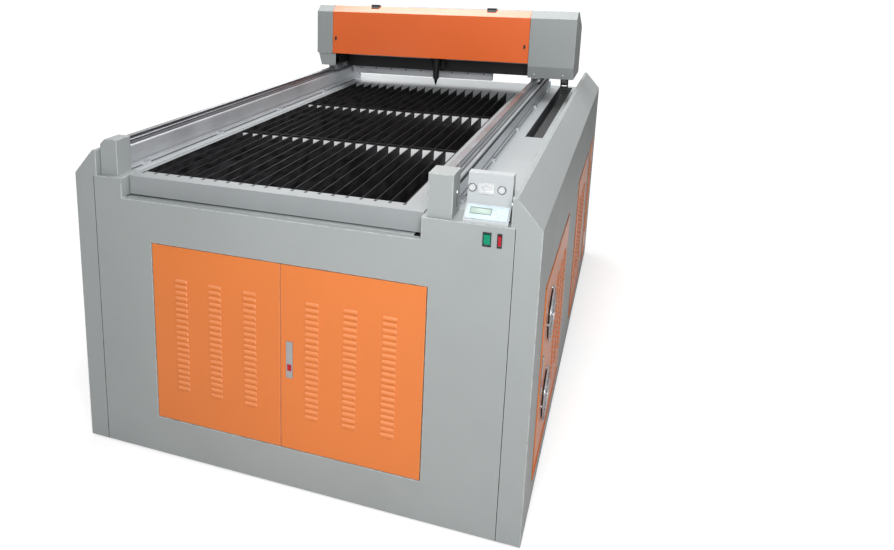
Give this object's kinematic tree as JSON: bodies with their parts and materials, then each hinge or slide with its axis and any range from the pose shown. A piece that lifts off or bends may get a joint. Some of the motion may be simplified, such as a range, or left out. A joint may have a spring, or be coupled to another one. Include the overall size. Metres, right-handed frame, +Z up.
{
  "type": "flatbed laser cutting machine",
  "caption": "Floor-standing flatbed laser cutter: louvred sheet-metal cabinet, slatted open bed, rail-guided gantry with a hinged hood and a moving laser head.",
  "frame": {"origin": "on the floor, in the middle of the machine's outline seen from above", "axes": "+Z up, +Y from the front doors to the back, +X to the operator's right"},
  "size_m": [1.508, 2.651, 1.4273],
  "materials": {
    "grey_paint": "satin",
    "pale_paint": "satin",
    "zinc_steel": "zinc plated",
    "latch_steel": "satin plated",
    "frame_paint": "satin",
    "orange_paint": "semi-gloss",
    "hood_paint": "gloss",
    "slat_steel": "scorched",
    "rail_steel": "ground",
    "beam_aluminium": "satin",
    "black_metal": "black anodised",
    "black_plastic": "matt",
    "rubber": "matt",
    "tube_glass": "clear",
    "meter_plastic": "gloss",
    "keypad_plastic": "satin",
    "button_plastic": "gloss",
    "green_plastic": "gloss",
    "red_plastic": "gloss",
    "switch_plastic": "satin",
    "bright_chrome": "polished"
  },
  "bodies": {
    "cabinet": {"base_frame": "frame_paint", "levelling_feet": "rubber", "front_panel": "grey_paint", "left_side_panel": "grey_paint", "right_side_panel": "grey_paint", "rear_panel": "grey_paint", "exhaust_spigot": "pale_paint", "deck": "pale_paint", "chain_trough": "frame_paint", "waste_tray": "slat_steel", "power_supply": "frame_paint", "table_frame": "pale_paint", "slat_supports": "zinc_steel", "slats": "slat_steel", "left_beam": "beam_aluminium", "right_beam": "beam_aluminium", "side_rails": "rail_steel", "beam_clamps": "beam_aluminium", "drive_belts": "rubber", "left_post_cover": "grey_paint", "right_post_cover": "grey_paint", "control_box": "grey_paint", "meter": "meter_plastic", "keypad": "keypad_plastic", "button_rings": "bright_chrome", "switch_bezels": "black_plastic", "limit_switch": "switch_plastic", "drag_chain_lower": "black_plastic"},
    "gantry": {"drag_chain_upper": "black_plastic", "gantry_beam": "black_metal", "cross_rail": "rail_steel", "rail_blocks": "rail_steel", "gantry_left_box": "grey_paint", "gantry_right_box": "grey_paint", "gantry_back_cover": "grey_paint", "chain_tray": "beam_aluminium", "laser_tube": "tube_glass", "tube_clamps": "rail_steel"},
    "hood": {"hood_lid": "hood_paint", "hood_fittings": "black_plastic"},
    "head": {"head_carriage": "black_metal"},
    "lens": {"lens_tube": "black_metal"},
    "chain_loop": {"drag_chain_loop": "black_plastic"},
    "button_left": {"left_button": "button_plastic"},
    "button_right": {"right_button": "button_plastic"},
    "rocker_main": {"main_rocker": "green_plastic"},
    "rocker_laser": {"laser_rocker": "red_plastic"},
    "door_front_left": {"front_left_door": "orange_paint"},
    "door_front_right": {"front_right_door": "orange_paint", "front_latch": "latch_steel"},
    "latch_push_front": {"front_latch_button": "red_plastic"},
    "door_side_front": {"side_door_front": "orange_paint", "side_latch": "latch_steel", "fan_frames": "black_plastic", "fan_guards": "bright_chrome"},
    "latch_push_side": {"side_latch_button": "red_plastic"},
    "fan_upper": {"upper_fan_rotor": "black_plastic"},
    "fan_lower": {"lower_fan_rotor": "black_plastic"},
    "door_side_middle": {"side_door_middle": "orange_paint"},
    "door_side_rear": {"side_door_rear": "orange_paint"}
  },
  "joints": [
    {"name": "gantry_slide", "type": "slide", "parent": "cabinet", "child": "gantry", "axis": [0, 1, 0], "range_m": [-1.86, 0.05], "deforming": ["drag_chain_lower", "drag_chain_upper"]},
    {"name": "chain_loop_slide", "type": "slide", "parent": "gantry", "child": "chain_loop", "axis": [0, 1, 0], "range_m": [-0.025, 0.93]},
    {"name": "hood_hinge", "type": "hinge", "parent": "gantry", "child": "hood", "pos_m": [-0.004, 0.7005, 1.4223], "axis": [1, 0, 0], "range_deg": [-100, 0]},
    {"name": "head_slide", "type": "slide", "parent": "gantry", "child": "head", "axis": [1, 0, 0], "range_m": [-0.45, 0.43]},
    {"name": "focus_slide", "type": "slide", "parent": "head", "child": "lens", "axis": [0, 0, 1], "range_m": [-0.015, 0.012]},
    {"name": "left_button_push", "type": "slide", "parent": "cabinet", "child": "button_left", "axis": [0, 0.9933, -0.1155], "range_m": [0, 0.0024], "stiffness_N_per_m": 400, "springref_m": -0.001},
    {"name": "right_button_push", "type": "slide", "parent": "cabinet", "child": "button_right", "axis": [0, 0.9933, -0.1155], "range_m": [0, 0.0024], "stiffness_N_per_m": 400, "springref_m": -0.001},
    {"name": "main_rocker_tilt", "type": "hinge", "parent": "cabinet", "child": "rocker_main", "pos_m": [0.6, -1.3165, 0.931], "axis": [1, 0, 0], "range_deg": [-16, 0]},
    {"name": "laser_rocker_tilt", "type": "hinge", "parent": "cabinet", "child": "rocker_laser", "pos_m": [0.634, -1.3165, 0.931], "axis": [1, 0, 0], "range_deg": [-16, 0]},
    {"name": "front_left_door_hinge", "type": "hinge", "parent": "cabinet", "child": "door_front_left", "pos_m": [-0.461, -1.3155, 0.455], "axis": [0, 0, 1], "range_deg": [-110, 0]},
    {"name": "front_right_door_hinge", "type": "hinge", "parent": "cabinet", "child": "door_front_right", "pos_m": [0.433, -1.3155, 0.455], "axis": [0, 0, 1], "range_deg": [0, 110]},
    {"name": "front_latch_push", "type": "slide", "parent": "door_front_right", "child": "latch_push_front", "axis": [0, 1, 0], "range_m": [0, 0.001], "stiffness_N_per_m": 400, "springref_m": -0.001},
    {"name": "side_door_front_hinge", "type": "hinge", "parent": "cabinet", "child": "door_side_front", "pos_m": [0.741, -0.3285, 0.414], "axis": [0, 0, 1], "range_deg": [0, 110]},
    {"name": "side_latch_push", "type": "slide", "parent": "door_side_front", "child": "latch_push_side", "axis": [-1, 0, 0], "range_m": [0, 0.001], "stiffness_N_per_m": 400, "springref_m": -0.001},
    {"name": "upper_fan_spin", "type": "hinge", "parent": "door_side_front", "child": "fan_upper", "pos_m": [0.726, -0.8925, 0.55568], "axis": [1, 0, 0], "continuous": true},
    {"name": "lower_fan_spin", "type": "hinge", "parent": "door_side_front", "child": "fan_lower", "pos_m": [0.726, -0.8925, 0.27232], "axis": [1, 0, 0], "continuous": true},
    {"name": "side_door_middle_hinge", "type": "hinge", "parent": "cabinet", "child": "door_side_middle", "pos_m": [0.741, 0.7265, 0.414], "axis": [0, 0, 1], "range_deg": [0, 110]},
    {"name": "side_door_rear_hinge", "type": "hinge", "parent": "cabinet", "child": "door_side_rear", "pos_m": [0.741, 1.1395, 0.414], "axis": [0, 0, 1], "range_deg": [0, 110]}
  ],
  "couplings": [
    {"joint": "chain_loop_slide", "follows": "gantry_slide", "ratio": -0.5}
  ]
}
